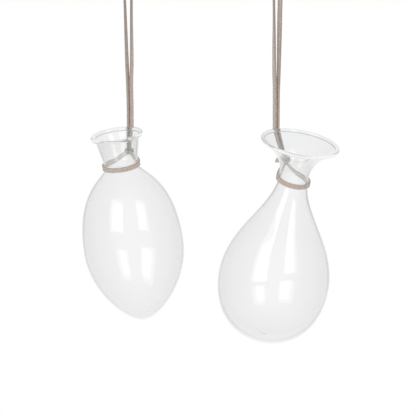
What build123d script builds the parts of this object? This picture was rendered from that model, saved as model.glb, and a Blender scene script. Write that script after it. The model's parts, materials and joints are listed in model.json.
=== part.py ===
from build123d import *
import os
from dataclasses import dataclass
from math import acos, cos, hypot, radians, sin, sqrt, tan

# A pair of clear blown-glass propagation vases, each hung on one flat suede lace from a screw-in hook.
# Millimetres. +Z is up, +X runs from the left vase to the right one, and +Y points away from the viewer.
# The origin is on the left hook's shank, in the plane that both hooks are screwed into.
# Depths on a glass are measured down its own axis, from the top of its rim.

# Lace: a flat suede strip, tied round the neck and hung over the hook
LACE_WIDTH = 4.0
LACE_THICKNESS = 2.0
LACE_EDGE_RADIUS = 0.5
LACE_GAP = 0.3
COLLAR_GAP = 0.15
COLLAR_SLIT = 1.0
STRAND_SPACING = 3.0
KNOT_CORE_RADIUS = 2.7
KNOT_WRAP_RADIUS = 1.0
KNOT_WRAP_PROUD = 0.5
KNOT_WRAP_LEAN = 32.0
END_LENGTH = 7.2
END_SPREAD = 68.0
END_RISE = 10.0

# Hook: bent wire with a flange, a bowl for the lace and a threaded shank
WIRE_RADIUS = 2.0
BOWL_RADIUS = 8.0
BOWL_SWEEP = 280.0
BOWL_FIRST_SHARE = 0.5
BEND_RADIUS = 4.0
STEM_LENGTH = 8.0
FLANGE_RADIUS = 6.5
FLANGE_THICKNESS = 1.6
FLANGE_EDGE_RADIUS = 0.5
SHANK_RADIUS = 2.0
SHANK_LENGTH = 5.0
THREAD_RADIUS = 1.9
THREAD_ROOT_RADIUS = 1.4
THREAD_PITCH = 1.6
THREAD_TURNS = 5
POINT_LENGTH = 3.0
SADDLE_GAP = 0.45
HOOK_SPACING = 125.6

# Glass of the left vase: an almond with a short flared neck and a blunt tip
ALMOND_HEIGHT = 167.4
ALMOND_RIM_RADIUS = 22.1
ALMOND_NECK_RADIUS = 13.7
ALMOND_NECK_DEPTH = 27.2
ALMOND_BELLY_RADIUS = 42.7
ALMOND_BELLY_DEPTH = 100.2
ALMOND_FLARE_POWER = 1.27
ALMOND_SHOULDER_SHARES = (0.14, 0.79)
ALMOND_BASE_SHARES = (0.56, 0.28)

# Glass of the right vase: a teardrop with a trumpet mouth
TEARDROP_HEIGHT = 181.9
TEARDROP_RIM_RADIUS = 33.3
TEARDROP_NECK_RADIUS = 12.5
TEARDROP_NECK_DEPTH = 31.6
TEARDROP_BELLY_RADIUS = 47.6
TEARDROP_BELLY_DEPTH = 127.0
TEARDROP_FLARE_POWER = 2.1
TEARDROP_SHOULDER_SHARES = (0.32, 0.405)
TEARDROP_BASE_SHARES = (0.63, 0.595)

# Walls of both glasses
WALL = 1.7
BEAD_RADIUS = 1.5
TIP_THICKNESS = 3.2
PONTIL_RADIUS = 2.8
PONTIL_HEIGHT = 0.7
FLARE_STATION_SHARES = (0.8, 0.6, 0.4, 0.2)

# How each vase hangs: the lace bears on the back of the rim and turns in to the knot
LEFT_DROP = 123.9
LEFT_SHIFT = 1.6
LEFT_LEAN_SIDE = -7.8
LEFT_LEAN_FRONT = 13.4
LEFT_KNOT_AZIMUTH = 26.2
LEFT_COLLAR_DEPTH = 27.2
LEFT_COLLAR_TILT = 1.0
LEFT_KNOT_TILT = 17.5
LEFT_BEARING_ANGLE = 17.5
RIGHT_DROP = 126.1
RIGHT_LEAN_SIDE = 9.8
RIGHT_LEAN_FRONT = 16.9
RIGHT_KNOT_AZIMUTH = -33.0
RIGHT_COLLAR_DEPTH = 33.6
RIGHT_COLLAR_TILT = 6.0
RIGHT_KNOT_TILT = 27.5
RIGHT_BEARING_ANGLE = 30.0

# Room beyond a piece for the solids that cut it
OVERRUN = 20.0

KNOT_REACH = KNOT_CORE_RADIUS + KNOT_WRAP_PROUD
RIM_TURN_RADIUS = BEAD_RADIUS + LACE_GAP + LACE_WIDTH / 2
BOWL_OFFSET = sqrt((BEND_RADIUS + BOWL_RADIUS) ** 2 - BEND_RADIUS**2)
BOWL_DEPTH = STEM_LENGTH + BOWL_OFFSET
SADDLE_DEPTH = BOWL_DEPTH + BOWL_RADIUS
BIGHT_RADIUS = WIRE_RADIUS + SADDLE_GAP + LACE_THICKNESS / 2


@dataclass(frozen=True)
class Glass:
    """The outline of one blown vessel."""

    height: float
    rim_radius: float
    neck_radius: float
    neck_depth: float
    belly_radius: float
    belly_depth: float
    flare_power: float
    shoulder_shares: tuple
    base_shares: tuple

    def lip_radius(self):
        """Radius of the middle of the wall where it runs into the rolled rim."""
        return self.rim_radius - BEAD_RADIUS

    def flare_radius(self, depth):
        """Outer radius between the rim and the waist: it grows as a power of the height above the waist."""
        share = (self.neck_depth - depth) / (self.neck_depth - BEAD_RADIUS)
        growth = self.lip_radius() + WALL / 2 - self.neck_radius
        return self.neck_radius + growth * share**self.flare_power


@dataclass(frozen=True)
class Hang:
    """How one vase hangs: where its hook is, how it leans and how its lace is tied."""

    hook_x: float
    drop: float
    shift: float
    lean_side: float
    lean_front: float
    knot_azimuth: float
    collar_depth: float
    collar_tilt: float
    knot_tilt: float
    bearing_angle: float

    def back(self):
        """Level direction from the vase's axis to its knot."""
        azimuth = radians(self.knot_azimuth)
        return Vector(sin(azimuth), cos(azimuth), 0)

    def across(self):
        """Level direction from the left strand of the lace to the right one."""
        azimuth = radians(self.knot_azimuth)
        return Vector(cos(azimuth), -sin(azimuth), 0)

    def saddle(self):
        """Centre of the hook's wire under the lace."""
        return Vector(self.hook_x, 0, -SADDLE_DEPTH)


ALMOND = Glass(
    height=ALMOND_HEIGHT,
    rim_radius=ALMOND_RIM_RADIUS,
    neck_radius=ALMOND_NECK_RADIUS,
    neck_depth=ALMOND_NECK_DEPTH,
    belly_radius=ALMOND_BELLY_RADIUS,
    belly_depth=ALMOND_BELLY_DEPTH,
    flare_power=ALMOND_FLARE_POWER,
    shoulder_shares=ALMOND_SHOULDER_SHARES,
    base_shares=ALMOND_BASE_SHARES,
)
TEARDROP = Glass(
    height=TEARDROP_HEIGHT,
    rim_radius=TEARDROP_RIM_RADIUS,
    neck_radius=TEARDROP_NECK_RADIUS,
    neck_depth=TEARDROP_NECK_DEPTH,
    belly_radius=TEARDROP_BELLY_RADIUS,
    belly_depth=TEARDROP_BELLY_DEPTH,
    flare_power=TEARDROP_FLARE_POWER,
    shoulder_shares=TEARDROP_SHOULDER_SHARES,
    base_shares=TEARDROP_BASE_SHARES,
)
LEFT = Hang(
    hook_x=0,
    drop=LEFT_DROP,
    shift=LEFT_SHIFT,
    lean_side=LEFT_LEAN_SIDE,
    lean_front=LEFT_LEAN_FRONT,
    knot_azimuth=LEFT_KNOT_AZIMUTH,
    collar_depth=LEFT_COLLAR_DEPTH,
    collar_tilt=LEFT_COLLAR_TILT,
    knot_tilt=LEFT_KNOT_TILT,
    bearing_angle=LEFT_BEARING_ANGLE,
)
RIGHT = Hang(
    hook_x=HOOK_SPACING,
    drop=RIGHT_DROP,
    shift=0,
    lean_side=RIGHT_LEAN_SIDE,
    lean_front=RIGHT_LEAN_FRONT,
    knot_azimuth=RIGHT_KNOT_AZIMUTH,
    collar_depth=RIGHT_COLLAR_DEPTH,
    collar_tilt=RIGHT_COLLAR_TILT,
    knot_tilt=RIGHT_KNOT_TILT,
    bearing_angle=RIGHT_BEARING_ANGLE,
)


def outline(glass, inset, floor):
    """Half outline of a glass, from rim to tip, drawn in by inset, with its lowest point raised by floor."""
    waist = (glass.neck_radius - inset, 0, -glass.neck_depth)
    belly = (glass.belly_radius - inset, 0, -glass.belly_depth)
    flare_points = [(glass.flare_radius(BEAD_RADIUS) - inset, 0, -BEAD_RADIUS)]
    for share in FLARE_STATION_SHARES:
        depth = glass.neck_depth - share * (glass.neck_depth - BEAD_RADIUS)
        flare_points.append((glass.flare_radius(depth) - inset, 0, -depth))
    shoulder_run = glass.belly_depth - glass.neck_depth
    leave_share, meet_share = glass.shoulder_shares
    leave_waist = (waist[0], 0, waist[2] - leave_share * shoulder_run)
    meet_belly = (belly[0], 0, belly[2] + meet_share * shoulder_run)
    tip = (0, 0, floor - glass.height)
    drop_share, round_share = glass.base_shares
    leave_belly = (belly[0], 0, belly[2] + drop_share * (tip[2] - belly[2]))
    meet_tip = (round_share * belly[0], 0, tip[2])
    first_run = Vector(*flare_points[1]) - Vector(*flare_points[0])
    flare = Spline(*flare_points, waist, tangents=[first_run, (0, 0, -1)])
    shoulder = Bezier(waist, leave_waist, meet_belly, belly)
    base = Bezier(belly, leave_belly, meet_tip, tip)
    return [flare, shoulder, base]


def filled(glass, inset, floor):
    """Solid of revolution inside a glass's outline, flat across the rim."""
    curves = outline(glass, inset, floor)
    top = curves[0] @ 0
    centre = (0, 0, top.Z)
    face = make_face([Line(centre, top), *curves, Line(curves[-1] @ 1, centre)])
    return revolve(face, Axis.Z)


def vessel(glass):
    """Blown glass: a thin wall with a rolled rim and a small scar where it was cut from the blowpipe."""
    wall = filled(glass, 0, 0) - filled(glass, WALL, TIP_THICKNESS)
    rim = Pos(0, 0, -BEAD_RADIUS) * Torus(glass.lip_radius(), BEAD_RADIUS)
    button = Cylinder(PONTIL_RADIUS, TIP_THICKNESS / 2 + PONTIL_HEIGHT)
    button = fillet(button.edges().sort_by(Axis.Z)[0], PONTIL_HEIGHT)
    scar = Pos(0, 0, (TIP_THICKNESS / 2 - PONTIL_HEIGHT) / 2 - glass.height) * button
    return wall + rim + scar


def knot_place(glass, hang):
    """Middle of the knot on the glass's own axes: just outside the neck, at the top of the collar's back half."""
    slope = tan(radians(hang.knot_tilt))
    depth = hang.collar_depth - (glass.neck_radius + KNOT_REACH) * slope
    glass_radius = glass.flare_radius(min(depth - KNOT_REACH / 2, glass.neck_depth))
    radius = glass_radius + LACE_GAP + KNOT_REACH
    return Vector(radius, 0, radius * slope - hang.collar_depth)


def rim_place(glass, hang):
    """Where the middle of the lace turns round the back of the rolled rim, on the glass's own axes."""
    angle = radians(hang.bearing_angle)
    outwards = RIM_TURN_RADIUS * cos(angle)
    return Vector(glass.lip_radius() + outwards, 0, -BEAD_RADIUS - RIM_TURN_RADIUS * sin(angle))


def hang_plane(glass, hang):
    """The glass's own axes as it hangs: X from its axis to the knot, Z up its axis, origin at the rim."""
    up = Vector(tan(radians(hang.lean_side)), -tan(radians(hang.lean_front)), 1).normalized()
    back = hang.back()
    outwards = (back - up * back.dot(up)).normalized()
    turned = Plane(origin=(0, 0, 0), x_dir=outwards, z_dir=up)
    bearing = hang.saddle() + hang.across() * hang.shift - Vector(0, 0, hang.drop)
    return Plane(origin=bearing - turned.from_local_coords(rim_place(glass, hang)), x_dir=outwards, z_dir=up)


def collar_location(hang, tilt):
    """Middle of the collar on the glass's own axes, tilted up towards the knot."""
    return Pos(0, 0, -hang.collar_depth) * Rot(0, -tilt, 0)


def neck_collar(glass, hang):
    """Lace laid once round the neck, its back half drawn up to the knot, its two ends side by side there."""
    inner = COLLAR_GAP
    outer = COLLAR_GAP + LACE_THICKNESS
    size = 2 * (glass.neck_radius + OVERRUN)
    halves = []
    for tilt, side in ((hang.collar_tilt, -1), (hang.knot_tilt, 1)):
        half_space = Pos(side * size / 2, 0, -hang.collar_depth) * Box(size, size, size)
        halves.append(collar_location(hang, tilt) * Box(size, size, LACE_WIDTH) & half_space)
    band = (filled(glass, -outer, -outer) & (halves[0] + halves[1])) - filled(glass, -inner, -inner)
    slit_box = Box(size / 2, COLLAR_SLIT, LACE_WIDTH + OVERRUN)
    slit = collar_location(hang, hang.knot_tilt) * Pos(size / 4, 0, 0) * slit_box
    return band - slit - knot(glass, hang)


def knot(glass, hang):
    """Overhand knot pulled tight: a round lump with two turns of lace crossing over it."""
    wrap = Torus(KNOT_REACH - KNOT_WRAP_RADIUS, KNOT_WRAP_RADIUS)
    lump = Sphere(KNOT_CORE_RADIUS)
    for lean in (KNOT_WRAP_LEAN, -KNOT_WRAP_LEAN):
        lump = lump + Rot(lean, 0, 0) * wrap
    return Pos(knot_place(glass, hang)) * lump


def lace_ends(glass, hang):
    """The lace's two cut ends, standing out of the knot to both sides and a little up."""
    strip = Box(END_LENGTH, LACE_THICKNESS, LACE_WIDTH, align=(Align.MIN, Align.CENTER, Align.CENTER))
    strip = fillet(strip.edges().filter_by(Axis.X), LACE_EDGE_RADIUS)
    ends = []
    for spread in (END_SPREAD, -END_SPREAD):
        end = Pos(knot_place(glass, hang)) * Rot(0, 0, spread) * Rot(0, -END_RISE, 0) * strip
        ends.append((end - knot(glass, hang)).solids().sort_by(SortBy.VOLUME)[-1])
    return ends


def tangent_point(centre, radius, place, side, across):
    """Where a straight strand from place meets the bight round the hook, on the given side of it."""
    run = place - centre
    flat = run.dot(across)
    angle = acos(radius / hypot(flat, run.Z))
    start = Vector(flat, run.Z).normalized()
    turn = side * angle
    turned_flat = start.X * cos(turn) - start.Y * sin(turn)
    turned_up = start.X * sin(turn) + start.Y * cos(turn)
    return centre + (across * turned_flat + Vector(0, 0, turned_up)) * radius


def strand(glass, hang, side):
    """Points of one strand from the knot up to the bight: side is -1 on the left and 1 on the right."""
    plane = hang_plane(glass, hang)
    beside = hang.across() * (side * STRAND_SPACING / 2)
    middle = plane.from_local_coords(knot_place(glass, hang)) + beside
    turn = plane.from_local_coords(rim_place(glass, hang)) + beside
    foot = middle + (turn - middle).normalized() * (KNOT_REACH + LACE_GAP)
    return [foot, turn, tangent_point(hang.saddle(), BIGHT_RADIUS, turn, side, hang.across())]


def hanging_loop(glass, hang, name):
    """Lace from the knot, up and over the hook and down again, as one strip."""
    left = strand(glass, hang, -1)
    right = strand(glass, hang, 1)
    crown = hang.saddle() + Vector(0, 0, BIGHT_RADIUS)
    rising = TangentArc(left[-1], crown, tangent=left[-1] - left[-2])
    falling = TangentArc(crown, right[-1], tangent=hang.across())
    up = FilletPolyline(*left, radius=RIM_TURN_RADIUS)
    down = FilletPolyline(*right[::-1], radius=RIM_TURN_RADIUS)
    path = Wire([*up.edges(), rising, falling, *down.edges()])
    along = path % 0
    flat = (hang.back() - along * hang.back().dot(along)).normalized()
    start = Plane(origin=path @ 0, x_dir=flat, z_dir=along)
    section = RectangleRounded(LACE_WIDTH, LACE_THICKNESS, LACE_EDGE_RADIUS)
    strip = sweep(start * section, path)
    print(name, "length", round(path.length, 2), "volume", round(strip.volume, 1),
          "section times length", round(section.area * path.length, 1),
          "bight radius", BIGHT_RADIUS, "rim turn radius", RIM_TURN_RADIUS)
    return strip


def shank():
    """Plain shank above the flange, then a ridged thread and a point."""
    points = [(0, 0, 0), (SHANK_RADIUS, 0, 0), (SHANK_RADIUS, 0, SHANK_LENGTH)]
    for turn in range(THREAD_TURNS):
        foot = SHANK_LENGTH + turn * THREAD_PITCH
        points.append((THREAD_ROOT_RADIUS, 0, foot))
        points.append((THREAD_RADIUS, 0, foot + THREAD_PITCH / 2))
    end = SHANK_LENGTH + THREAD_TURNS * THREAD_PITCH
    points.append((THREAD_ROOT_RADIUS, 0, end))
    points.append((0, 0, end + POINT_LENGTH))
    return revolve(make_face(Polyline(*points, close=True)), Axis.Z)


def hook(hang):
    """Screw-in hook: the wire bends away from the stem and sweeps round a bowl under it."""
    bend_turn = acos(BEND_RADIUS / (BEND_RADIUS + BOWL_RADIUS))
    foot = (0, 0, -STEM_LENGTH)

    def bend_point(turn):
        return (BEND_RADIUS * (1 - cos(turn)), 0, -STEM_LENGTH - BEND_RADIUS * sin(turn))

    def bowl_point(share):
        angle = radians(90) - bend_turn + radians(BOWL_SWEEP) * share
        return (BOWL_RADIUS * sin(angle), 0, BOWL_RADIUS * cos(angle) - BOWL_DEPTH)

    stem = Line((0, 0, 0), foot)
    bend = ThreePointArc(foot, bend_point(bend_turn / 2), bend_point(bend_turn))
    half = BOWL_FIRST_SHARE
    first = ThreePointArc(bowl_point(0), bowl_point(half / 2), bowl_point(half))
    second = ThreePointArc(bowl_point(half), bowl_point((half + 1) / 2), bowl_point(1))
    wire = sweep(Circle(WIRE_RADIUS), Wire([stem, bend, first, second]))
    end_ball = Pos(bowl_point(1)) * Sphere(WIRE_RADIUS)
    flange = Cylinder(FLANGE_RADIUS, FLANGE_THICKNESS, align=(Align.CENTER, Align.CENTER, Align.MAX))
    flange = fillet(flange.edges().sort_by(Axis.Z)[0], FLANGE_EDGE_RADIUS)
    turned = Rot(0, 0, 90 - hang.knot_azimuth)
    return Pos(hang.hook_x, 0, 0) * turned * (wire + end_ball + flange + shank())


def vase_parts(side, glass, hang):
    """Every piece of one vase, each in the place where it hangs."""
    place = hang_plane(glass, hang).location
    knot_middle = hang_plane(glass, hang).from_local_coords(knot_place(glass, hang))
    axis = hang_plane(glass, hang).z_dir
    print(side, "knot", knot_middle, "glass axis", axis, "rim", hang_plane(glass, hang).origin)
    return {
        f"{side}_hook": hook(hang),
        f"{side}_hanging_loop": hanging_loop(glass, hang, f"{side}_hanging_loop"),
        f"{side}_neck_collar": place * neck_collar(glass, hang),
        f"{side}_knot": place * knot(glass, hang),
        f"{side}_lace_ends": Compound([place * end for end in lace_ends(glass, hang)]),
        f"{side}_vessel": place * vessel(glass),
    }


parts = {**vase_parts("left", ALMOND, LEFT), **vase_parts("right", TEARDROP, RIGHT)}
os.makedirs("parts", exist_ok=True)
for node, shape in parts.items():
    export_step(shape, f"parts/{node}.step")
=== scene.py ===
import json
import logging
from dataclasses import dataclass
from enum import Enum
from math import cos, radians, sin, tan, tau

import bpy
import numpy as np
from bpy.types import ID, Material, Node, NodeSocket as Socket, NodeTree as Tree, Object, World
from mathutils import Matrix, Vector

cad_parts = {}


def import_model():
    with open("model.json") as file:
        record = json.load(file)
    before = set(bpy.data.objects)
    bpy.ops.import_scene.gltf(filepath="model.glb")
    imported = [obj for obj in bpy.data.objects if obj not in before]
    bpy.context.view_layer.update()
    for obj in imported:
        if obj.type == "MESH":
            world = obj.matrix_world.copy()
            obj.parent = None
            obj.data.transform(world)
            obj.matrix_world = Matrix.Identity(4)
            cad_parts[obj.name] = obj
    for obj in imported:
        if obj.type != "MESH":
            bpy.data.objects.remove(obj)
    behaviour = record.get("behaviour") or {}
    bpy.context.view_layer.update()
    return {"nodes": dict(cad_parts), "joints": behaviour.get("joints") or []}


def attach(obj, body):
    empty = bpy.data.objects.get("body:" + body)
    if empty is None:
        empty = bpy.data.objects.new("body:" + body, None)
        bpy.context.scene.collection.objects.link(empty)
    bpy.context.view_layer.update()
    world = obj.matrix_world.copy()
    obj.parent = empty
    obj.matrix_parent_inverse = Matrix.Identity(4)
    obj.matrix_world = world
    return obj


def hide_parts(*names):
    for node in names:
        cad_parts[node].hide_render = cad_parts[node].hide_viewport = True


# Looks of a pair of hanging propagation vases: blown glass, suede laces and screw-in hooks.
# Metres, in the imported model's frame: +Z up, +X from the left vase to the right, +Y away from the viewer.
# Sizes written times MM are in millimetres. Depths on a glass run down its own axis from the top of its rim.

LOG = logging.getLogger("vases")
MM = 0.001
UP = np.array([0.0, 0.0, 1.0])
WHITE = (1.0, 1.0, 1.0)
RIPPLE_FADE = 0.7
SECTION_POWER = 5.0
Array = np.ndarray
Pair = tuple[float, float]
Triple = tuple[float, float, float]
Colour = Triple
Feeds = dict[str | int, object]


class Side(Enum):
    """Which of the two vases a piece belongs to."""

    LEFT = "left"
    RIGHT = "right"


class Ends(Enum):
    """How the two ends of a swept tube are closed."""

    FLAT = "flat"
    POLES = "poles"
    JOINED = "joined"


# Mesh helpers


def unit(vectors: Array) -> Array:
    """Directions of length one, for vectors along the last axis."""
    return vectors / np.linalg.norm(vectors, axis=-1, keepdims=True)


def smooth(value: Array, low: float, high: float) -> Array:
    """Smooth step: 0 below low, 1 above high and 3t^2 - 2t^3 between."""
    share = np.clip((value - low) / (high - low), 0.0, 1.0)
    return share * share * (3.0 - 2.0 * share)


def bezier(points: list[Pair], count: int) -> Array:
    """Cubic Bezier curve, the Bernstein sum of four points.

    Args:
        points: the four control points.
        count: how many points to give.

    Returns:
        Points on the curve, count by 2.
    """
    t = np.linspace(0.0, 1.0, count)[:, None]
    p = np.asarray(points, float)
    return (1 - t) ** 3 * p[0] + 3 * (1 - t) ** 2 * t * p[1] + 3 * (1 - t) * t**2 * p[2] + t**3 * p[3]


def ripple(along: Array, waves: int, seed: int) -> Array:
    """Smooth seeded noise: a sum of cosines whose frequencies grow and amplitudes shrink.

    Args:
        along: positions, in radians of the lowest wave.
        waves: how many cosines.
        seed: seed of the phases.

    Returns:
        Values of about -1 to 1.
    """
    phases = np.random.default_rng(seed).uniform(0, tau, waves)
    orders = np.arange(1, waves + 1)
    terms = np.cos(along[..., None] * orders + phases) / orders**RIPPLE_FADE
    return terms.sum(-1) / (1.0 / orders**RIPPLE_FADE).sum()


def scene_object(name: str, data: ID) -> Object:
    """Make an object of a mesh, camera or lamp and put it into the scene.

    Args:
        name: the object's name.
        data: what it shows.

    Returns:
        The new object, at the origin.
    """
    made = bpy.data.objects.new(name, data)
    bpy.context.scene.collection.objects.link(made)
    return made


def tube_faces(count: int, around: int, ends: Ends) -> tuple[Array, Array]:
    """Faces of a tube by point number: quads between neighbouring rings, and fans at ends that aren't joined.

    Args:
        count: how many rings.
        around: how many points round each ring.
        ends: how the first and last rings are closed.

    Returns:
        The quads, and the fans' triangles to the two points that follow those of the rings.
    """
    rows = count if ends is Ends.JOINED else count - 1
    i, j = np.meshgrid(np.arange(rows), np.arange(around), indexing="ij")
    here, below, beside = i * around, (i + 1) % count * around, (j + 1) % around
    quads = np.stack([here + j, here + beside, below + beside, below + j], -1).reshape(-1, 4)
    if ends is Ends.JOINED:
        return quads, np.zeros((0, 3), int)
    total, last = count * around, (count - 1) * around
    near = np.arange(around)
    far = (near + 1) % around
    top = np.stack([np.full(around, total), far, near], -1)
    bottom = np.stack([np.full(around, total + 1), last + near, last + far], -1)
    return quads, np.concatenate([top, bottom])


def tube_object(
    name: str, rings: Array, finish: Material, ends: Ends, poles: Array | None = None, **marks: Array
) -> Object:
    """Mesh from rings of points, each ring closed on itself, with numbers on its points for the finish.

    The faces are turned round if the volume that they enclose comes out negative, so they point outwards.

    Args:
        name: the object's name.
        rings: points, rings by points round each ring by 3.
        finish: its material.
        ends: how the first and last rings are closed.
        poles: the two end points for Ends.POLES. Other ends are closed at the middle of their ring.
        marks: numbers for the rings' points. An end point takes the mean of its ring.

    Returns:
        The new object.
    """
    count, around = rings.shape[:2]
    quads, fans = tube_faces(count, around, ends)
    points = rings.reshape(-1, 3)
    if ends is not Ends.JOINED:
        tips = poles if ends is Ends.POLES else np.stack([rings[0].mean(0), rings[-1].mean(0)])
        points = np.concatenate([points, tips])
    triangles = np.concatenate([quads[:, [0, 1, 2]], quads[:, [0, 2, 3]], fans])
    a, b, c = (points[triangles[:, corner]] for corner in range(3))
    if np.einsum("ij,ij->i", a, np.cross(b, c)).sum() < 0:
        quads, fans = quads[:, ::-1], fans[:, ::-1]
    mesh = bpy.data.meshes.new(name)
    mesh.from_pydata(points.tolist(), [], quads.tolist() + fans.tolist())
    mesh.polygons.foreach_set("use_smooth", np.ones(len(mesh.polygons), bool))
    mesh.validate()
    mesh.materials.append(finish)
    for mark, values in marks.items():
        full = np.broadcast_to(values, (count, around))
        spare = [full[0].mean(), full[-1].mean()][:len(points) - full.size]
        mesh.attributes.new(mark, "FLOAT", "POINT").data.foreach_set("value", np.append(full, spare))
    return scene_object(name, mesh)


def spline_points(control: Array, per_span: int) -> Array:
    """Points of a NURBS spline of order 3 that has the given control points and starts and ends on them.

    Args:
        control: control points, n by 3.
        per_span: points for each control point.

    Returns:
        Points along the spline, in order.
    """
    data = bpy.data.curves.new("route", "CURVE")
    data.dimensions = "3D"
    data.resolution_u = per_span
    line = data.splines.new("NURBS")
    line.points.add(len(control) - 1)
    line.points.foreach_set("co", np.column_stack([control, np.ones(len(control))]).ravel())
    line.order_u = 3
    line.use_endpoint_u = True
    holder = bpy.data.objects.new("route", data)
    mesh = bpy.data.meshes.new_from_object(holder)
    points = np.zeros(len(mesh.vertices) * 3)
    mesh.vertices.foreach_get("co", points)
    bpy.data.objects.remove(holder)
    bpy.data.curves.remove(data)
    bpy.data.meshes.remove(mesh)
    return points.reshape(-1, 3)


def run_lengths(path: Array) -> Array:
    """Distance along a path at each of its points."""
    steps = np.linalg.norm(np.diff(path, axis=0), axis=1)
    return np.concatenate([[0.0], np.cumsum(steps)])


def lace_section(width: float, thickness: float, around: int) -> Array:
    """Section of a flat lace: a superellipse |x/a|^p + |y/b|^p = 1, with p the SECTION_POWER.

    Args:
        width: its size along the first coordinate.
        thickness: its size along the second coordinate.
        around: how many points.

    Returns:
        Points round the section, around by 2.
    """
    t = np.linspace(0, tau, around, endpoint=False)
    circle = np.stack([np.cos(t), np.sin(t)], -1)
    return np.sign(circle) * np.abs(circle) ** (2.0 / SECTION_POWER) * [width / 2, thickness / 2]


def sweep_rings(path: Array, wide: Array, section: Array, twist: Array, closed: bool = False) -> Array:
    """Carry a section along a path: a ring is path + x W + y N, with W the wide direction turned by twist.

    Args:
        path: points, n by 3.
        wide: direction of the section's first coordinate, one for all points or one each.
        section: points round the section, k by 2, or n by k by 2.
        twist: turn about the path at each point, in radians.
        closed: whether the path joins itself.

    Returns:
        Rings, n by k by 3.
    """
    if closed:
        along = unit(np.roll(path, -1, 0) - np.roll(path, 1, 0))
    else:
        along = unit(np.gradient(path, axis=0))
    level = np.broadcast_to(wide, path.shape)
    across = unit(level - along * np.einsum("ij,ij->i", level, along)[:, None])
    normal = np.cross(along, across)
    c, s = np.cos(twist)[:, None], np.sin(twist)[:, None]
    first, second = c * across + s * normal, c * normal - s * across
    x, y = section[..., 0, None], section[..., 1, None]
    return path[:, None] + x * first[:, None] + y * second[:, None]


# Node helpers


def feed(tree: Tree, target: Node, feeds: Feeds) -> None:
    """Link or set a node's inputs.

    Args:
        tree: the node tree.
        target: the node.
        feeds: for each input's name or number, the socket to link or the constant to set. Colours are opaque.
    """
    for key, value in feeds.items():
        socket = target.inputs[key]
        if isinstance(value, Socket):
            tree.links.new(value, socket)
        elif socket.type == "RGBA":
            socket.default_value = (*value, 1.0)
        else:
            socket.default_value = value


def node(tree: Tree, kind: str, feeds: Feeds | None = None, **settings: object) -> Node:
    """Add a node, set its properties, then link or set its inputs.

    Args:
        tree: the node tree.
        kind: the node's type name.
        feeds: what goes into its inputs.
        settings: properties to set.

    Returns:
        The new node.
    """
    made = tree.nodes.new(kind)
    for key, value in settings.items():
        setattr(made, key, value)
    feed(tree, made, feeds or {})
    return made


def maths(tree: Tree, operation: str, *values: Socket | float) -> Socket:
    """Result of an operation on numbers."""
    return node(tree, "ShaderNodeMath", dict(enumerate(values)), operation=operation).outputs["Value"]


def vector_maths(tree: Tree, operation: str, *values: Socket | Triple) -> Socket:
    """Result of an operation on vectors: a number for a length, and otherwise a vector."""
    made = node(tree, "ShaderNodeVectorMath", dict(enumerate(values)), operation=operation)
    return made.outputs["Value" if operation == "LENGTH" else "Vector"]


def noise(tree: Tree, place: Socket, scale: Socket | float, detail: float) -> Socket:
    """Fractal noise on a coordinate, with scale features for each unit and detail octaves."""
    feeds = {"Vector": place, "Scale": scale, "Detail": detail}
    return node(tree, "ShaderNodeTexNoise", feeds).outputs["Fac"]


def span(tree: Tree, value: Socket, old: Pair, new: Pair) -> Socket:
    """Map a value from its old range to a new one, clamped."""
    ranges = dict(zip(("From Min", "From Max", "To Min", "To Max"), (*old, *new)))
    return node(tree, "ShaderNodeMapRange", {"Value": value, **ranges}).outputs["Result"]


def mix_colour(tree: Tree, share: Socket, under: Socket | Colour, over: Colour) -> Socket:
    """Lay a linear colour over another one by a share."""
    feeds = {"Factor": share, "A": under, "B": over}
    return node(tree, "ShaderNodeMix", feeds, data_type="RGBA").outputs["Result"]


def mix_shader(tree: Tree, share: Socket, first: Socket, second: Socket) -> Socket:
    """Mix two shaders: the first where the share is 0, the second where it is 1."""
    return node(tree, "ShaderNodeMixShader", {0: share, 1: first, 2: second}).outputs["Shader"]


def bump(tree: Tree, shader: Node, height: Socket, strength: float, depth: float) -> None:
    """Lead a height to a shader's normal through a bump that is depth metres deep."""
    made = node(tree, "ShaderNodeBump", {"Height": height, "Strength": strength, "Distance": depth})
    feed(tree, shader, {"Normal": made.outputs["Normal"]})


def object_place(tree: Tree) -> Socket:
    """The object's own coordinates."""
    return node(tree, "ShaderNodeTexCoord").outputs["Object"]


def point_mark(tree: Tree, name: str) -> Socket:
    """A number that the mesh's points carry."""
    return node(tree, "ShaderNodeAttribute", attribute_name=name).outputs["Fac"]


def empty_tree(holder: Material | World) -> Tree:
    """Give a material or world an empty node tree.

    Args:
        holder: the material or world.

    Returns:
        Its tree.
    """
    holder.use_nodes = True
    holder.node_tree.nodes.clear()
    return holder.node_tree


def new_material(name: str) -> tuple[Material, Tree, Node, Node]:
    """Start a material with a Principled shader.

    Args:
        name: the material's name.

    Returns:
        The material, its tree, the shader and the output that it leads to.
    """
    made = bpy.data.materials.new(name)
    tree = empty_tree(made)
    shader = node(tree, "ShaderNodeBsdfPrincipled")
    output = node(tree, "ShaderNodeOutputMaterial", {"Surface": shader.outputs["BSDF"]})
    return made, tree, shader, output


# Finishes


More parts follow.
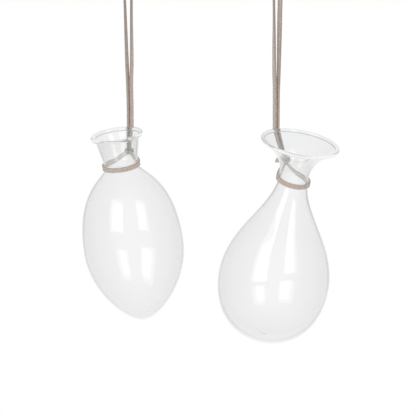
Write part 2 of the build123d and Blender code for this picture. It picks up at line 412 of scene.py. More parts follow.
@dataclass(frozen=True)
class FineGrain:
    """Fine grain that the suede and the steel share: two sizes of noise on a stretched coordinate."""

    name: str = "fine_grain"
    finer: float = 4.3
    coarse_share: float = 0.45
    fine_share: float = 0.55
    coarse_detail: float = 3.0
    fine_detail: float = 2.0
    mask_range: Pair = (0.36, 0.64)

    def group(self) -> Tree:
        """Find or build the node group: Vector, Size and Stretch in, Mask and Height out.

        The height is the sum of the noises by their shares, and the mask the height spread over mask_range.

        Returns:
            The node group.
        """
        found = bpy.data.node_groups.get(self.name)
        if found is not None:
            return found
        tree = bpy.data.node_groups.new(self.name, "ShaderNodeTree")
        for name, kind in (("Vector", "Vector"), ("Size", "Float"), ("Stretch", "Vector")):
            tree.interface.new_socket(name, in_out="INPUT", socket_type=f"NodeSocket{kind}")
        for name in ("Mask", "Height"):
            tree.interface.new_socket(name, in_out="OUTPUT", socket_type="NodeSocketFloat")
        entry = node(tree, "NodeGroupInput").outputs
        place = vector_maths(tree, "MULTIPLY", entry["Vector"], entry["Stretch"])
        coarse = noise(tree, place, entry["Size"], self.coarse_detail)
        fine = noise(tree, place, maths(tree, "MULTIPLY", entry["Size"], self.finer), self.fine_detail)
        fine_part = maths(tree, "MULTIPLY", fine, self.fine_share)
        height = maths(tree, "MULTIPLY_ADD", coarse, self.coarse_share, fine_part)
        mask = span(tree, height, self.mask_range, (0.0, 1.0))
        node(tree, "NodeGroupOutput", {"Mask": mask, "Height": height})
        return tree

    def place(self, tree: Tree, size: float, stretch: Triple) -> Node:
        """Put the group into a material's tree, with size features a metre and factors on the three axes."""
        feeds = {"Vector": object_place(tree), "Size": size, "Stretch": stretch}
        return node(tree, "ShaderNodeGroup", feeds, node_tree=self.group())


@dataclass(frozen=True)
class ClearGlass:
    """Clear hand-blown glass: faint long ripples in the wall, greyer where thick, and painted shade at the
    neck.

    A ray that has come off a reflection passes straight on, so light that runs round inside a wall comes out
    again where a path with few bounces would end in black.
    """

    name: str = "clear_glass"
    thin: Colour = (0.950, 0.951, 0.951)
    # Grey of thick glass at the rim and the tip, and of painted shade at the neck.
    thick_glass_and_neck_shade: Colour = (0.875, 0.880, 0.880)
    index: float = 1.48
    ripple_size: float = 42.0
    ripple_detail: float = 1.0
    ripple_strength: float = 0.06
    ripple_depth: float = 4.0 * MM

    def material(self) -> Material:
        """Make the material.

        Returns:
            The material.
        """
        made, tree, shader, output = new_material(self.name)
        # The thickness mark greys the rolled rim and the tip, where the glass is thick, and paints shade at
        # the neck.
        tint = mix_colour(tree, point_mark(tree, "thickness"), self.thin, self.thick_glass_and_neck_shade)
        plain = {"Transmission Weight": 1.0, "Roughness": 0.0, "IOR": self.index}
        feed(tree, shader, {**plain, "Base Color": tint})
        height = noise(tree, object_place(tree), self.ripple_size, self.ripple_detail)
        bump(tree, shader, height, self.ripple_strength, self.ripple_depth)
        reflected = node(tree, "ShaderNodeLightPath").outputs["Is Reflection Ray"]
        clear = node(tree, "ShaderNodeBsdfTransparent").outputs["BSDF"]
        feed(tree, output, {"Surface": mix_shader(tree, reflected, shader.outputs["BSDF"], clear)})
        return made


@dataclass(frozen=True)
class Suede:
    """Flat suede lace: a soft nap in two tones with a little sheen, darker at the cut edges.

    It is paler on the inner face: in part the flesh side of the suede, in part painted light for the glass
    it lies against. Near the knot, where it lies behind the glass, it is painted grey: painted light that
    stands for how the glass in front of it looks over it.
    """

    name: str = "suede"
    dark: Colour = (0.400, 0.325, 0.283)
    light: Colour = (0.700, 0.600, 0.535)
    cut: Colour = (0.285, 0.250, 0.226)
    # Pale tone of the inner face: partly the flesh side of the suede, partly painted light for the glass it
    # lies against.
    flesh: Colour = (0.740, 0.725, 0.705)
    # Painted light: the grey that the lace shows near the knot, where it lies behind the glass.
    faded: Colour = (0.500, 0.490, 0.472)
    cover: float = 0.8
    roughness: float = 0.92
    specular: float = 0.15
    sheen: float = 0.35
    sheen_roughness: float = 0.5
    sheen_tint: Colour = (0.80, 0.72, 0.66)
    nap_size: float = 900.0
    nap_stretch: Triple = (1.0, 1.0, 0.55)
    nap_strength: float = 0.8
    nap_depth: float = 0.6 * MM

    def material(self) -> Material:
        """Make the material.

        Returns:
            The material.
        """
        made, tree, shader, _ = new_material(self.name)
        nap = FineGrain().place(tree, self.nap_size, self.nap_stretch)
        colour = mix_colour(tree, nap.outputs["Mask"], self.dark, self.light)
        # Over the nap: a painted grey where the lace lies behind the glass, darker cut edges, and a pale
        # inner face that is partly the flesh side and partly painted light for the glass.
        for name, tone in (("faded", self.faded), ("cut_edge", self.cut), ("flesh_side", self.flesh)):
            share = span(tree, point_mark(tree, name), (0.0, 1.0), (0.0, self.cover))
            colour = mix_colour(tree, share, colour, tone)
        feed(tree, shader, {
            "Base Color": colour, "Roughness": self.roughness, "Specular IOR Level": self.specular,
            "Sheen Weight": self.sheen, "Sheen Roughness": self.sheen_roughness,
            "Sheen Tint": self.sheen_tint,
        })
        bump(tree, shader, nap.outputs["Height"], self.nap_strength, self.nap_depth)
        return made


@dataclass(frozen=True)
class SatinSteel:
    """Zinc-plated steel wire: drawing lines along the wire and a cloudy satin."""

    name: str = "hook_steel"
    dull: Colour = (0.50, 0.50, 0.49)
    bright: Colour = (0.74, 0.74, 0.73)
    roughness: Pair = (0.24, 0.42)
    cloud_size: float = 160.0
    cloud_stretch: Triple = (1.0, 1.0, 1.0)
    line_size: float = 1500.0
    line_stretch: Triple = (1.0, 1.0, 0.06)
    line_strength: float = 0.25
    line_depth: float = 0.1 * MM

    def material(self) -> Material:
        """Make the material.

        Returns:
            The material.
        """
        made, tree, shader, _ = new_material(self.name)
        clouds = FineGrain().place(tree, self.cloud_size, self.cloud_stretch)
        lines = FineGrain().place(tree, self.line_size, self.line_stretch)
        feed(tree, shader, {
            "Metallic": 1.0,
            "Base Color": mix_colour(tree, clouds.outputs["Mask"], self.dull, self.bright),
            "Roughness": span(tree, lines.outputs["Mask"], (0.0, 1.0), self.roughness),
        })
        bump(tree, shader, lines.outputs["Height"], self.line_strength, self.line_depth)
        return made


# The vases


@dataclass(frozen=True)
class Hanging:
    """Where one vase hangs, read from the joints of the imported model.

    The lace hangs over the hook at the saddle. Back and across are level, towards its back and its right. Up
    is the glass's axis, through the middle of its rim.
    """

    saddle: Array
    back: Array
    knot: Array
    across: Array
    rim: Array
    up: Array

    @classmethod
    def read(cls, side: Side, joints: list[dict]) -> "Hanging":
        """Read the swing at the hook, the nod at the knot and the turn about the glass's axis.

        Args:
            side: which vase.
            joints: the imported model's joints.

        Returns:
            The vase's places and directions.
        """
        found = {joint["name"]: joint for joint in joints}
        used = [found[f"{side.value}_{kind}"] for kind in ("swing", "nod", "turn")]
        return cls(*(np.asarray(joint[key], float) for joint in used for key in ("pos_m", "axis")))

    def axes(self) -> Array:
        """The glass's own axes as rows: square out to the knot, round to the side, and up its axis."""
        out = unit(self.back - self.up * (self.back @ self.up))
        return np.stack([out, np.cross(self.up, out), self.up])

    def world(self, local: Array) -> Array:
        """Turn places on the glass's own axes, with the top of the rim as origin, into the frame's."""
        return self.rim + local @ self.axes()


@dataclass(frozen=True)
class Blown:
    """Outline of one blown vessel."""

    height: float
    rim_radius: float
    neck_radius: float
    neck_depth: float
    belly_radius: float
    belly_depth: float
    flare_power: float
    shoulder_shares: Pair
    base_shares: Pair
    lip_share: float = 0.0
    lip_power: float = 14.0
    wall: float = 1.7 * MM
    bead: float = 1.5 * MM
    bead_room_share: float = 1.01
    tip_thickness: float = 3.2 * MM
    scar_radius: float = 2.8 * MM
    scar_height: float = 0.7 * MM
    scar_shares: Pair = (0.6, 1.05)
    flare_points: int = 56
    shoulder_points: int = 64
    base_points: int = 72
    roll_points: int = 30

    def flare(self, depth: Array) -> Array:
        """Outer radius from rim to waist: it grows as a power of the height above the waist.

        A share of the growth comes as a much higher power, which turns the wall out close under the rim.

        Args:
            depth: depths below the rim.

        Returns:
            Radii.
        """
        share = np.clip((self.neck_depth - depth) / (self.neck_depth - self.bead), 0.0, None)
        growth = self.rim_radius - self.bead + self.wall / 2 - self.neck_radius
        turned = self.lip_share * share**self.lip_power
        return self.neck_radius + growth * ((1 - self.lip_share) * share**self.flare_power + turned)

    def outline(self, inset: float = 0.0, floor: float = 0.0) -> Array:
        """Radius and depth from the rim to the tip: a power flare, then a Bezier shoulder and a Bezier base.

        Args:
            inset: how far the outline is drawn in.
            floor: how far its lowest point is raised.

        Returns:
            Points, n by 2.
        """
        depth = np.linspace(self.bead, self.neck_depth, self.flare_points)
        flare = np.column_stack([self.flare(depth) - inset, depth])
        waist, belly = self.neck_radius - inset, self.belly_radius - inset
        high, low, tip = self.neck_depth, self.belly_depth, self.height - floor
        leave, meet = (share * (low - high) for share in self.shoulder_shares)
        shoulder = [(waist, high), (waist, high + leave), (belly, low - meet), (belly, low)]
        drop, round_share = self.base_shares
        base = [(belly, low), (belly, low + drop * (tip - low)), (round_share * belly, tip), (0.0, tip)]
        lower = bezier(shoulder, self.shoulder_points)[1:], bezier(base, self.base_points)[1:]
        return np.concatenate([flare, *lower])

    def radius_at(self, depth: Array) -> Array:
        """Outer radius at depths between the rim and the belly."""
        curve = self.outline()
        return np.interp(depth, curve[:, 1], curve[:, 0])

    def profile(self) -> Array:
        """Closed half section: up the outside from the scar, round the rolled rim and down the inside.

        Returns:
            Radius and depth, n by 2, without the two points on the axis.
        """
        centre = np.array([self.rim_radius - self.bead, self.bead])
        walls, angles = [], []
        for wall in (self.outline(), self.outline(self.wall, self.tip_thickness)):
            clear = np.linalg.norm(wall[:-1] - centre, axis=1) > self.bead * self.bead_room_share
            walls.append(wall[:-1][clear])
            x, y = walls[-1][0] - centre
            angles.append(np.arctan2(-y, x))
        outer, inner = walls
        angle = np.linspace(angles[0], angles[1] % tau, self.roll_points)[1:-1]
        roll = centre + self.bead * np.column_stack([np.cos(angle), -np.sin(angle)])
        scar = self.scar_height * (1 - smooth(outer[:, 0] / self.scar_radius, *self.scar_shares))
        outer[:, 1] += np.where(outer[:, 1] > self.belly_depth, scar, 0.0)
        return np.concatenate([outer[::-1], roll, inner])


ALMOND = Blown(
    height=167.4 * MM, rim_radius=22.1 * MM, neck_radius=13.7 * MM, neck_depth=27.2 * MM,
    belly_radius=42.7 * MM, belly_depth=100.2 * MM, flare_power=0.92, shoulder_shares=(0.14, 0.79),
    base_shares=(0.56, 0.28), lip_share=0.3, bead=1.75 * MM, scar_height=0.2 * MM,
)
TEARDROP = Blown(
    height=181.9 * MM, rim_radius=33.3 * MM, neck_radius=12.5 * MM, neck_depth=31.6 * MM,
    belly_radius=47.6 * MM, belly_depth=127.0 * MM, flare_power=2.35, shoulder_shares=(0.32, 0.405),
    base_shares=(0.63, 0.595),
)


@dataclass
class Vessel:
    """One blown glass vessel, with a faint unevenness that calms down at its neck and its tip."""

    side: Side
    blown: Blown
    hanging: Hanging
    finish: Material
    seed: int
    around: int = 176
    uneven: float = 0.004
    round_share: float = 0.6
    round_waves: int = 3
    down_waves: int = 5
    calm_neck: float = 12.0 * MM
    calm_tip: Pair = (8.0 * MM, 30.0 * MM)
    bead_fade_shares: Pair = (1.4, 3.2)
    neck_fade_shares: Pair = (0.45, 1.15)
    # The neck's share is painted shade: the wall there is no thicker than on the belly.
    neck_shade_share: float = 0.8
    tip_fade: float = 16.0 * MM
    tip_thickness_share: float = 0.3

    def unevenness(self, depth: Array, angle: Array) -> Array:
        """Factors on the radius: 1 + uneven w ripple, with w 0 at the neck and the tip and 1 on the belly.

        Args:
            depth: depths of the rings.
            angle: angles round the axis.

        Returns:
            Factors, rings by angles.
        """
        blown = self.blown
        weight = smooth(depth, blown.neck_depth + self.calm_neck, blown.belly_depth)
        weight = weight * smooth(blown.height - depth, *self.calm_tip)
        turning = ripple(angle, self.round_waves, self.seed)[None, :]
        falling = ripple(depth / blown.height * tau, self.down_waves, self.seed + 1)[:, None]
        mixed = turning * self.round_share + falling * (1 - self.round_share)
        return 1 + self.uneven * weight[:, None] * mixed

    def thickness(self, depth: Array) -> Array:
        """How grey the glass is made: 1 at the rolled rim, less at the neck and the tip, and 0 on a plain
        wall.
        At the rim and the tip this follows the thicker glass; at the neck, whose wall is no thicker, it is
        painted shade.

        Args:
            depth: depths of the rings.

        Returns:
            Shares, one for each ring.
        """
        blown = self.blown
        bead = 1 - smooth(depth / blown.bead, *self.bead_fade_shares)
        neck = 1 - smooth(depth / blown.neck_depth, *self.neck_fade_shares)
        tip = smooth(depth, blown.height - self.tip_fade, blown.height)
        return np.maximum.reduce([bead, self.neck_shade_share * neck, self.tip_thickness_share * tip])

    def build(self) -> Object:
        """Turn the closed profile round the glass's axis, with the faint unevenness of hand blowing.

        Returns:
            The vessel.
        """
        radius, depth = self.blown.profile().T
        angle = np.linspace(0, tau, self.around, endpoint=False)
        ring = radius[:, None] * self.unevenness(depth, angle)
        down = np.broadcast_to(-depth[:, None], ring.shape)
        rings = self.hanging.world(np.stack([ring * np.cos(angle), ring * np.sin(angle), down], -1))
        outside = self.blown.height + self.blown.scar_height
        inside = self.blown.height - self.blown.tip_thickness
        poles = self.hanging.world(np.outer([-outside, -inside], UP))
        # Grey for thick glass at the rim and the tip, and painted shade at the neck.
        thickness = self.thickness(depth)[:, None]
        name = f"{self.side.value}_blown_vessel"
        made = tube_object(name, rings, self.finish, Ends.POLES, poles, thickness=thickness)
        made.visible_shadow = False
        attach(made, f"{self.side.value}_vase")
        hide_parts(f"{self.side.value}_vessel")
        return made


@dataclass(frozen=True)
class Wobble:
    """Unevenness of a swept lace: factors 1 + size ripple(place + step k) at point k of the section."""

    size: float
    step: float
    waves: int
    seed: int

    def sections(self, section: Array, place: Array) -> Array:
        """The section at each place along the lace, given in radians of the longest wave."""
        steps = np.arange(len(section)) * self.step
        return section * (1 + self.size * ripple(place[:, None] + steps, self.waves, self.seed))[..., None]


@dataclass
class Lace:
    """One flat suede lace: the loop that hangs on the hook, collar, knot and cut ends.

    The bearing, tilts, leans, spreads and twists are in degrees. Angles round the neck are in radians from
    the knot. A name that ends in half is half the distance between the loop's two strands.
    """

    side: Side
    blown: Blown
    hanging: Hanging
    finish: Material
    length: float
    collar_depth: float
    collar_tilts: Pair
    bearing: float
    rim_room: float
    leans: Pair
    width: float = 4.0 * MM
    thickness: float = 2.0 * MM
    around: int = 28
    edge_shares: Pair = (0.80, 0.98)
    front_run: Pair = (-0.2 * MM, 0.8 * MM)
    # The hanging loop, from the knot over the rim to the hook
    loop_points: int = 24
    loop_wobble: Wobble = Wobble(size=0.035, step=0.9, waves=6, seed=21)
    loop_wave: float = 60.0 * MM
    knot_half: float = 0.9 * MM
    knot_rise: float = 1.2 * MM
    rim_half: float = 1.5 * MM
    rim_turn: float = 3.8 * MM
    kink: float = 5.0 * MM
    upright: float = 20.0 * MM
    meet_height: float = -110.0 * MM
    meet_half: float = 1.65 * MM
    parted_rise: float = 14.0 * MM
    parted_half: float = 2.4 * MM
    hook_run: float = 24.0 * MM
    hook_half: float = 2.95 * MM
    hook_lean_share: float = 0.1
    wire_run: float = 7.0 * MM
    wire_half: float = 3.55 * MM
    bight: float = 3.45 * MM
    bight_corners: int = 4
    lean_shares: Pair = (0.45, 0.87)
    flat_shares: Pair = (0.885, 0.965)
    least_edge: float = 0.4
    edge_run_shares: Pair = (0.2, 0.8)
    glass_veil_shares: Pair = (0.85, 1.1)
    # The collar round the neck
    collar_points: int = 220
    start_angle: float = 0.04
    collar_gap: float = 0.15 * MM
    collar_wobble: Wobble = Wobble(size=0.03, step=0.7, waves=5, seed=33)
    collar_waves: int = 3
    collar_edge: float = 0.6
    tilt_power: int = 4
    fitting_rounds: int = 6
    slope_step: float = 0.2 * MM
    slope_angles: Pair = (0.2, 0.7)
    gather: float = 0.9
    gather_angles: Pair = (0.1, 1.3)
    most_bend: float = 1.0 * MM
    bend_angles: Pair = (0.3, 0.7)
    # The knot
    knot_points: int = 220
    knot_around: int = 20
    knot_tilt: float = 36.0
    knot_radius: float = 2.15 * MM
    knot_crossing: float = 0.4 * MM
    knot_width: float = 2.7 * MM
    knot_thickness: float = 1.15 * MM
    # The cut ends
    end_points: int = 10
    end_around: int = 24
    end_length: float = 7.2 * MM
    end_spread: float = 68.0
    end_tilt: float = 10.0
    end_twist: float = 10.0
    end_shares: tuple[float, ...] = (0.12, 0.45, 0.75, 1.0)
    end_sag: tuple[float, ...] = (0.0, 0.25 * MM, 0.1 * MM, -0.35 * MM)
    end_gather: float = 0.72
    end_growth: Pair = (2.0 * MM, 4.5 * MM)
    slant: float = 0.35
    slant_start_share: float = 0.55

    def rim_place(self) -> Array:
        """Where the middle of the lace turns round the back of the rolled rim, moved out by rim_room.

        Returns:
            The place in the frame.
        """
        angle = radians(self.bearing)
        reach = self.rim_turn + self.rim_room
        out = self.blown.rim_radius - self.blown.bead + reach * cos(angle)
        return self.hanging.world(np.array([out, 0.0, -self.blown.bead - reach * sin(angle)]))

    def strand(self, hand: int) -> Array:
        """Control points of one strand from the knot to just under the hook.

        Args:
            hand: -1 for the left strand, 1 for the right one.

        Returns:
            Control points, n by 3.
        """
        beside = self.hanging.across * hand
        knot, rim, saddle = self.hanging.knot, self.rim_place(), self.hanging.saddle
        start = knot + beside * self.knot_half + unit(rim - knot) * self.knot_rise
        turn = rim + beside * self.rim_half
        below = turn + unit(start - turn) * self.kink
        meet = saddle + (rim - saddle) * (saddle[2] - self.meet_height) / (saddle[2] - rim[2])
        lean = (rim - saddle) * [1, 1, 0] * self.hook_lean_share
        return np.stack([
            start,
            below,
            turn,
            turn + UP * self.kink,
            turn + UP * self.upright,
            meet + beside * self.meet_half,
            meet + UP * self.parted_rise + beside * self.parted_half,
            saddle - UP * self.hook_run + lean + beside * self.hook_half,
            saddle - UP * self.wire_run + beside * self.wire_half,
        ])

    def route(self) -> Array:
        """Control points of the loop: up one strand, half round the hook's wire and down the other strand.

        Returns:
            Control points, n by 3.
        """
        step = tau / 2 / self.bight_corners
        angle = step * (self.bight_corners - 0.5 - np.arange(self.bight_corners))[:, None]
        corners = np.cos(angle) * self.hanging.across + np.sin(angle) * UP
        over = self.hanging.saddle + self.bight / cos(step / 2) * corners
        return np.concatenate([self.strand(-1), over, self.strand(1)[::-1]])

    def edge(self, section: Array) -> Array:
        """Which points of the lace's section are on its cut edges, 0 to 1."""
        return smooth(np.abs(section[:, 0]) / (self.width / 2), *self.edge_shares)

    def front(self, rings: Array) -> Array:
        """Which points of a tube's rings face the glass, 0 to 1, by how far they lie before its middle."""
        offset = (rings - rings.mean(1, keepdims=True)) @ self.hanging.back
        return 1 - smooth(offset, *self.front_run)

    def build_loop(self) -> tuple[Object, Array]:
        """Sweep the lace along the route, lying flat over the hook's wire and leaning a little below it.

        Returns:
            The loop and the points it follows.
        """
        path = spline_points(self.route(), self.loop_points)
        run = run_lengths(path)
        half = run[-1] / 2
        share = 1 - np.abs(run - half) / half
        lean = np.where(run < half, self.leans[0], -self.leans[1]) * smooth(share, *self.lean_shares)
        twist = np.radians(lean) * (1 - smooth(share, *self.flat_shares))
        section = lace_section(self.width, self.thickness, self.around)
        sections = self.loop_wobble.sections(section, run / self.loop_wave * tau)
        rings = sweep_rings(path, self.hanging.back, sections, twist)
        dark = self.least_edge + (1 - self.least_edge) * smooth(share, *self.edge_run_shares)
        # Near the knot, on the faces towards the glass, the loop is painted grey: painted light for the glass
        # in front of it.
        rise = np.linalg.norm(self.rim_place() - self.hanging.knot)
        near = 1 - smooth(np.minimum(run, run[-1] - run) / rise, *self.glass_veil_shares)
        made = tube_object(
            f"{self.side.value}_suede_loop", rings, self.finish, Ends.FLAT,
            cut_edge=self.edge(section) * dark[:, None], faded=near[:, None] * self.front(rings),
        )
        return made, path

    def collar_path(self, angle: Array, away: Array) -> tuple[Array, Array, Array]:
        """Middle of the lace round the neck, on the glass's axes: a ring drawn out on tangents at the knot.

        The radius at angle a from the knot is R / cos(max(t - |a|, 0)), where t is the angle whose tangents
        meet at the knot. The ring lies at the first tilt in front and rises to the second tilt at the knot,
        with a power of cos(a).

        Args:
            angle: angles round the axis from the knot.
            away: the same angles, measured the shorter way.

        Returns:
            Points, depths and outward slopes of the glass under them.
        """
        front, behind = (tan(radians(tilt)) for tilt in self.collar_tilts)
        slope = front + (behind - front) * np.clip(np.cos(angle), 0.0, 1.0) ** self.tilt_power
        off = self.collar_gap + self.thickness / 2
        depth = np.full(angle.shape, self.collar_depth)
        for _ in range(self.fitting_rounds):
            radius = self.blown.radius_at(depth) + off
            depth = self.collar_depth - radius * np.cos(angle) * slope
        reach = (self.hanging.knot - self.hanging.rim) @ self.hanging.axes()[0]
        near = self.blown.radius_at(self.collar_depth - reach * behind) + off
        meet = np.arccos(np.clip(near / reach, 0, 1))
        drawn = radius / np.cos(np.maximum(meet - away, 0.0))
        x, y = drawn * np.cos(angle), drawn * np.sin(angle)
        local = np.stack([x, y, x * slope - self.collar_depth], -1)
        above, below = (self.blown.radius_at(depth + step) for step in (-self.slope_step, self.slope_step))
        lean = (below - above) / (2 * self.slope_step)
        return local, depth, lean * smooth(away, *self.slope_angles)

    def build_collar(self) -> Object:
        """Sweep the lace round the neck, bent to the glass behind it and gathered in towards the knot.

        Returns:
            The collar.
        """
        angle = np.linspace(self.start_angle, tau - self.start_angle, self.collar_points)
        away = np.minimum(angle, tau - angle)
        local, depth, lean = self.collar_path(angle, away)
        radial = np.stack([np.cos(angle), np.sin(angle), np.zeros_like(angle)], -1)
        wide = unit(UP - lean[:, None] * radial)
        section = lace_section(self.width, self.thickness, self.around)
        sections = self.collar_wobble.sections(section, angle * self.collar_waves)
        sections[..., 0] *= (self.gather + (1 - self.gather) * smooth(away, *self.gather_angles))[:, None]
        rings = sweep_rings(local, wide, sections, np.zeros(len(angle)))
        reach, down = np.linalg.norm(rings[..., :2], axis=-1), -rings[..., 2]
        level = self.blown.radius_at(depth)[:, None] + lean[:, None] * (down - depth[:, None])
        bend = np.clip(self.blown.radius_at(down) - level, 0, self.most_bend)
        bend = bend * smooth(away, *self.bend_angles)[:, None]
        rings[..., :2] *= ((reach + bend) / reach)[..., None]
        # The inner face is painted pale: partly the flesh side of the suede, partly painted light for the
        # glass it lies against.
        return tube_object(
            f"{self.side.value}_suede_collar", self.hanging.world(rings), self.finish, Ends.FLAT,
            cut_edge=self.collar_edge * self.edge(section),
            flesh_side=smooth(-section[:, 1], 0.0, self.thickness / 2),
        )

    def build_knot(self) -> Object:
        """Two crossing turns of tight lace: a band on a ball, tilted the other way on its second turn.

        At turn t from 0 to 4 pi the band is at longitude t, latitude knot_tilt sin(t) cos(t/2) and radius
        r + d cos(t/2).

        Returns:
            The knot.
        """
        t = np.linspace(0, 2 * tau, self.knot_points, endpoint=False)
        height = radians(self.knot_tilt) * np.sin(t) * np.cos(t / 2)
        radius = self.knot_radius + self.knot_crossing * np.cos(t / 2)
        ball = np.stack([np.cos(height) * np.cos(t), np.cos(height) * np.sin(t), np.sin(height)], -1)
        ball = ball @ self.hanging.axes()
        path = self.hanging.knot + radius[:, None] * ball
        section = lace_section(self.knot_width, self.knot_thickness, self.knot_around)
        wide = np.cross(np.gradient(ball, axis=0), ball)
        rings = sweep_rings(path, wide, section, np.zeros(len(t)), closed=True)
        # The knot's faces towards the glass are painted grey: painted light for the glass in front of them.
        name = f"{self.side.value}_suede_knot"
        return tube_object(name, rings, self.finish, Ends.JOINED, faded=self.front(rings))

    def build_end(self, hand: int) -> Object:
        """Sweep a short end that stands out of the knot to one side, a little up, and is cut on the slant.

        Args:
            hand: 1 or -1, the side it points to.

        Returns:
            The cut end.
        """
        spread, rise = radians(self.end_spread) * hand, radians(self.end_tilt)
        aim = np.array([cos(rise) * cos(spread), cos(rise) * sin(spread), sin(rise)])
        control = np.outer(self.end_shares, aim) * self.end_length + np.outer(self.end_sag, UP)
        path = spline_points(self.hanging.knot + control @ self.hanging.axes(), self.end_points)
        run = run_lengths(path)
        share = run / run[-1]
        section = lace_section(self.width, self.thickness, self.end_around)
        grown = self.end_gather + (1 - self.end_gather) * smooth(run, *self.end_growth)
        twist = radians(self.end_twist * hand) * share
        rings = sweep_rings(path, self.hanging.up, section * grown[:, None, None], twist)
        slant = self.slant * smooth(share, self.slant_start_share, 1.0)[:, None] * section[:, 0]
        rings = rings - slant[..., None] * unit(path[-1] - path[0])
        # The end's faces towards the glass are painted grey: painted light for the glass in front of them.
        name = f"{self.side.value}_suede_end_{'a' if hand > 0 else 'b'}"
        return tube_object(name, rings, self.finish, Ends.FLAT, faded=self.front(rings))

    def build(self) -> list[Object]:
        """Build the whole lace and put it on its bodies.

        Returns:
            The lace's pieces.
        """
        name = self.side.value
        loop, path = self.build_loop()
        collar, knot = self.build_collar(), self.build_knot()
        ends = [self.build_end(hand) for hand in (1, -1)]
        for piece in (collar, knot, *ends):
            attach(piece, f"{name}_collar")
        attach(loop, f"{name}_lace")
        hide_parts(f"{name}_hanging_loop")
        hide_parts(f"{name}_neck_collar")
        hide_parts(f"{name}_knot")
        for piece in ends:
            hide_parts(f"{name}_lace_ends")
        return [loop, collar, knot, *ends]


# The studio


def point_at(thing: Object, place: Vector, aim: Vector) -> None:
    """Put a camera or lamp at a place and point it along a direction."""
    thing.location = place
    thing.rotation_euler = aim.to_track_quat("-Z", "Y").to_euler()


@dataclass(frozen=True)
class Panel:
    """A tall soft lamp that faces the vases.

    Its azimuth is in degrees to the right of the camera, seen from the vases, its elevation in degrees above
    them, and its power in watts.
    """

    name: str
    azimuth: float
    elevation: float
    distance: float
    width: float
    height: float
    power: float

    def build(self, target: Vector) -> Object:
        """Set up the lamp.

        Args:
            target: the place that it faces.

        Returns:
            The lamp.
        """
        data = bpy.data.lights.new(self.name, "AREA")
        data.shape = "RECTANGLE"
        data.size, data.size_y = self.width, self.height
        data.energy = self.power
        made = scene_object(self.name, data)
        turn, rise = radians(self.azimuth), radians(self.elevation)
        aim = Vector((sin(turn) * cos(rise), -cos(turn) * cos(rise), sin(rise)))
        point_at(made, target + aim * self.distance, -aim)
        return made


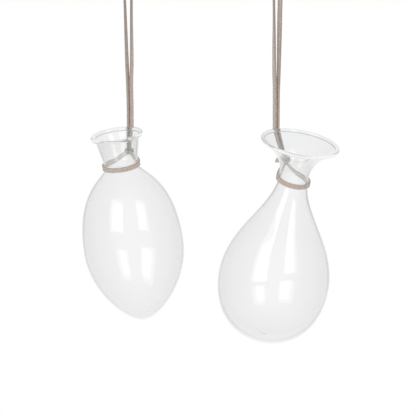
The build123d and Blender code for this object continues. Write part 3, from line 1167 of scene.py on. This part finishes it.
@dataclass(frozen=True)
class Studio:
    """White studio: a pale floor, a white surround with a grey ring that the glass shows, and two soft lamps.

    Angles are in degrees, and field is the width of the view at the vases.
    """

    target: Triple = (66.98 * MM, 0.0, -218.675 * MM)
    distance: float = 1.6
    elevation: float = 4.4
    field: float = 352.75 * MM
    fill: float = 0.78
    grey: float = 0.56
    grey_start: float = 0.40
    grey_height_share: float = 0.86
    grey_lift: float = 0.15
    floor_height: float = -1.9
    floor_reach: float = 6.0
    floor_tone: float = 0.93
    floor_glow_share: float = 0.88
    floor_glow: float = 1.03
    panels: tuple[Panel, ...] = (
        Panel("left_panel", azimuth=-29.0, elevation=9.0, distance=1.3, width=0.62, height=0.82, power=2.7),
        Panel("right_panel", azimuth=28.0, elevation=13.5, distance=1.3, width=0.46, height=0.76, power=1.9),
    )

    def camera(self) -> Object:
        """Set the camera at the photograph's viewing angle: field wide at the vases, a little above them.

        Returns:
            The camera.
        """
        data = bpy.data.cameras.new("camera")
        data.sensor_fit = "HORIZONTAL"
        data.angle = 2 * np.arctan(self.field / 2 / self.distance)
        made = scene_object("camera", data)
        rise = radians(self.elevation)
        aim = Vector((0, cos(rise), -sin(rise)))
        point_at(made, Vector(self.target) - aim * self.distance, aim)
        bpy.context.scene.camera = made
        return made

    def seen(self, tree: Tree) -> tuple[Socket, Socket]:
        """Ray tests for the white surround: is it a camera ray, and is it seen in glass or metal."""
        ray = node(tree, "ShaderNodeLightPath").outputs
        return ray["Is Camera Ray"], maths(tree, "MAXIMUM", ray["Is Glossy Ray"], ray["Is Transmission Ray"])

    def surround(self, tree: Tree, way: Socket) -> Socket:
        """Colour that glass and metal show in a direction: white ahead and behind, and grey all round.

        The grey grows with the length of (x, grey_height_share z + grey_lift), so it is deepest overhead and
        to the sides.

        Args:
            tree: a world's or a material's tree.
            way: the direction, of length one.

        Returns:
            The colour.
        """
        weights, lift = (1.0, 0.0, self.grey_height_share), (0.0, 0.0, self.grey_lift)
        flat = vector_maths(tree, "MULTIPLY_ADD", way, weights, lift)
        ramp = node(tree, "ShaderNodeValToRGB", {"Fac": vector_maths(tree, "LENGTH", flat)})
        ramp.color_ramp.interpolation = "EASE"
        for stop, place, tone in zip(ramp.color_ramp.elements, (self.grey_start, 1.0), (1.0, self.grey)):
            stop.position = place
            stop.color = (tone, tone, tone, 1.0)
        return ramp.outputs["Color"]

    def world(self) -> None:
        """White to the camera, soft light on the object, and the surround's colour in glass and metal."""
        made = bpy.data.worlds.new("studio")
        bpy.context.scene.world = made
        tree = empty_tree(made)
        camera, shown = self.seen(tree)
        shade = self.surround(tree, node(tree, "ShaderNodeTexCoord").outputs["Generated"])
        fill, around, white = (
            node(tree, "ShaderNodeBackground", {"Color": colour, "Strength": strength}).outputs["Background"]
            for colour, strength in ((WHITE, self.fill), (shade, 1.0), (WHITE, 1.0))
        )
        light = mix_shader(tree, camera, mix_shader(tree, shown, fill, around), white)
        node(tree, "ShaderNodeOutputWorld", {"Surface": light})

    def floor_finish(self) -> Material:
        """White to the camera, as the surround in glass, and otherwise pale and matt, so it takes a shadow.

        Returns:
            The material.
        """
        made = bpy.data.materials.new("floor")
        tree = empty_tree(made)
        camera, shown = self.seen(tree)
        share = maths(tree, "MULTIPLY", maths(tree, "MAXIMUM", camera, shown), self.floor_glow_share)
        way = vector_maths(tree, "NORMALIZE", vector_maths(tree, "SUBTRACT", object_place(tree), self.target))
        tint = mix_colour(tree, camera, self.surround(tree, way), WHITE)
        matt = node(tree, "ShaderNodeBsdfDiffuse", {"Color": (self.floor_tone,) * 3})
        glow = node(tree, "ShaderNodeEmission", {"Color": tint, "Strength": self.floor_glow})
        mixed = mix_shader(tree, share, matt.outputs["BSDF"], glow.outputs["Emission"])
        node(tree, "ShaderNodeOutputMaterial", {"Surface": mixed})
        return made

    def floor(self) -> Object:
        """Lay a square floor well under the vases.

        Returns:
            The floor.
        """
        edge = (-self.floor_reach, self.floor_reach)
        mesh = bpy.data.meshes.new("floor")
        mesh.from_pydata([(x, y, self.floor_height) for x in edge for y in edge], [], [(0, 2, 3, 1)])
        mesh.materials.append(self.floor_finish())
        made = scene_object("floor", mesh)
        return made

    def build(self) -> None:
        """Set up the camera, surround, floor and lamps."""
        self.camera()
        self.world()
        self.floor()
        for panel in self.panels:
            panel.build(Vector(self.target))


def main() -> None:
    """Load the frame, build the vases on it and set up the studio."""
    logging.basicConfig(level=logging.INFO, format="%(name)s: %(message)s")
    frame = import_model()
    bpy.context.scene.view_settings.view_transform = "Standard"
    Studio().build()
    glass, suede, steel = ClearGlass().material(), Suede().material(), SatinSteel().material()
    left, right = Hanging.read(Side.LEFT, frame["joints"]), Hanging.read(Side.RIGHT, frame["joints"])
    laces = [
        Lace(
            Side.LEFT, ALMOND, left, suede, length=0.295, collar_depth=27.2 * MM,
            collar_tilts=(1.0, 17.5), bearing=17.5, rim_room=0.45 * MM, leans=(20.0, 18.0),
            end_length=5.6 * MM,
        ),
        Lace(
            Side.RIGHT, TEARDROP, right, suede, length=0.316, collar_depth=33.6 * MM,
            collar_tilts=(6.0, 27.5), bearing=30.0, rim_room=0.8 * MM, leans=(-28.0, 32.0),
            meet_height=-117.0 * MM, gather=0.55,
        ),
    ]
    vessels = [
        Vessel(Side.LEFT, ALMOND, left, glass, seed=5),
        Vessel(Side.RIGHT, TEARDROP, right, glass, seed=11),
    ]
    pieces = [piece for lace in laces for piece in lace.build()] + [vessel.build() for vessel in vessels]
    for piece in pieces:
        LOG.info("%s: %d faces", piece.name, len(piece.data.polygons))
    for side in Side:
        hook = frame["nodes"][f"{side.value}_hook"]
        hook.data.materials.clear()
        hook.data.materials.append(steel)
        LOG.info("%s dressed", hook.name)


if __name__ == "__main__":
    main()
